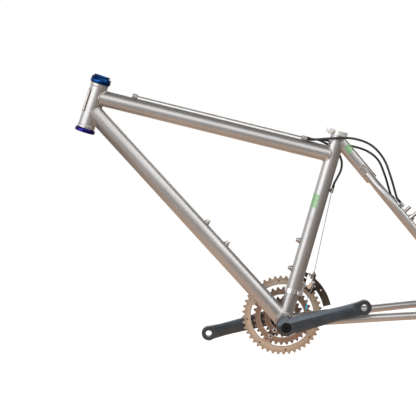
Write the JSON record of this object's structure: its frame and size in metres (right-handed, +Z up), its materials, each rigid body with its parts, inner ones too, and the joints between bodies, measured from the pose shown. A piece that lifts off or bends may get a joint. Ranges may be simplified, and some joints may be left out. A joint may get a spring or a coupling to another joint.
{
  "type": "bicycle frame",
  "caption": "Satin titanium mountain bike frame with wishbone stays, fitted with headset, seat clamp, cranks, chainrings, front derailleur and frame cables.",
  "frame": {"origin": "centre of the bottom bracket, in the bicycle's middle plane", "axes": "+X towards the rear wheel, +Y towards the chain side (right), +Z up"},
  "size_m": [0.9052, 0.1594, 0.642],
  "materials": {
    "titanium": "satin bead-blasted titanium, bare metal",
    "blue_anodised": "blue anodised aluminium",
    "steel": "bright steel",
    "silver": "polished aluminium",
    "black_steel": "black satin",
    "crank_grey": "dark grey polished aluminium",
    "ring_metal": "worn brownish metal",
    "black_plastic": "black satin plastic jacket"
  },
  "bodies": {
    "frame": {"head_tube": "titanium", "top_tube": "titanium", "down_tube": "titanium", "seat_tube": "titanium", "bottom_bracket_shell": "titanium", "left_chainstay": "titanium", "right_chainstay": "titanium", "wishbone_tube": "titanium", "left_seatstay": "titanium", "right_seatstay": "titanium", "left_dropout": "titanium", "right_dropout": "titanium", "left_brake_stud": "steel", "right_brake_stud": "steel", "down_tube_lower_boss": "titanium", "down_tube_upper_boss": "titanium", "seat_tube_lower_boss": "titanium", "seat_tube_upper_boss": "titanium", "down_tube_lower_bolt": "steel", "down_tube_upper_bolt": "steel", "seat_tube_lower_bolt": "steel", "seat_tube_upper_bolt": "steel", "front_cable_stop": "titanium", "rear_cable_stop": "titanium", "seat_tube_cable_stop": "titanium", "left_seatstay_cable_stop": "titanium", "right_seatstay_cable_stop": "titanium", "brake_wire": "steel", "front_shift_wire": "steel", "rear_shift_wire": "steel", "derailleur_wire": "steel", "brake_housing": "black_plastic", "rear_shift_housing": "black_plastic", "front_shift_housing": "black_plastic", "upper_headset_cup": "blue_anodised", "lower_headset_cup": "blue_anodised", "upper_headset_bearing": "steel", "lower_headset_bearing": "steel", "seat_collar": "silver", "quick_release_skewer": "steel", "quick_release_nut": "silver", "left_bottom_bracket_cup": "black_steel", "right_bottom_bracket_cup": "black_steel", "left_bottom_bracket_bearing": "steel", "right_bottom_bracket_bearing": "steel", "derailleur_clamp": "silver"},
    "headset_cover": {"headset_top_cover": "blue_anodised"},
    "crankset": {"crank_spindle": "steel", "left_crank_arm": "crank_grey", "right_crank_arm": "crank_grey", "left_crank_bolt": "black_steel", "right_crank_bolt": "black_steel", "large_chainring": "ring_metal", "middle_chainring": "ring_metal", "small_chainring": "ring_metal"},
    "seat_lever": {"quick_release_lever": "silver"},
    "mech_outer_link": {"derailleur_outer_link": "silver"},
    "mech_inner_link": {"derailleur_inner_link": "silver"},
    "mech_cage": {"derailleur_cage": "steel"}
  },
  "joints": [
    {"name": "headset_turn", "type": "hinge", "parent": "frame", "child": "headset_cover", "pos_m": [-0.4296, 0, 0.4325], "axis": [0.3289, 0, 0.9444], "continuous": true},
    {"name": "crank_spin", "type": "hinge", "parent": "frame", "child": "crankset", "pos_m": [0, 0, 0], "axis": [0, -1, 0], "continuous": true},
    {"name": "seat_lever_open", "type": "hinge", "parent": "frame", "child": "seat_lever", "pos_m": [0.10174, 0.0205, 0.41829], "axis": [0.2823, 0, 0.9593], "range_deg": [0, 140]},
    {"name": "derailleur_swing", "type": "hinge", "parent": "frame", "child": "mech_outer_link", "pos_m": [0.02372, 0.02, 0.08058], "axis": [0.9593, 0, -0.2823], "range_deg": [0, 42]},
    {"name": "inner_link_swing", "type": "hinge", "parent": "frame", "child": "mech_inner_link", "pos_m": [0.02485, 0.009, 0.08442], "axis": [0.9593, 0, -0.2823], "range_deg": [0, 42]},
    {"name": "cage_level", "type": "hinge", "parent": "mech_outer_link", "child": "mech_cage", "pos_m": [0.03037, 0.03099, 0.10319], "axis": [0.9593, 0, -0.2823], "range_deg": [-42, 0]}
  ],
  "couplings": [
    {"joint": "inner_link_swing", "follows": "derailleur_swing", "ratio": 1},
    {"joint": "cage_level", "follows": "derailleur_swing", "ratio": -1}
  ]
}
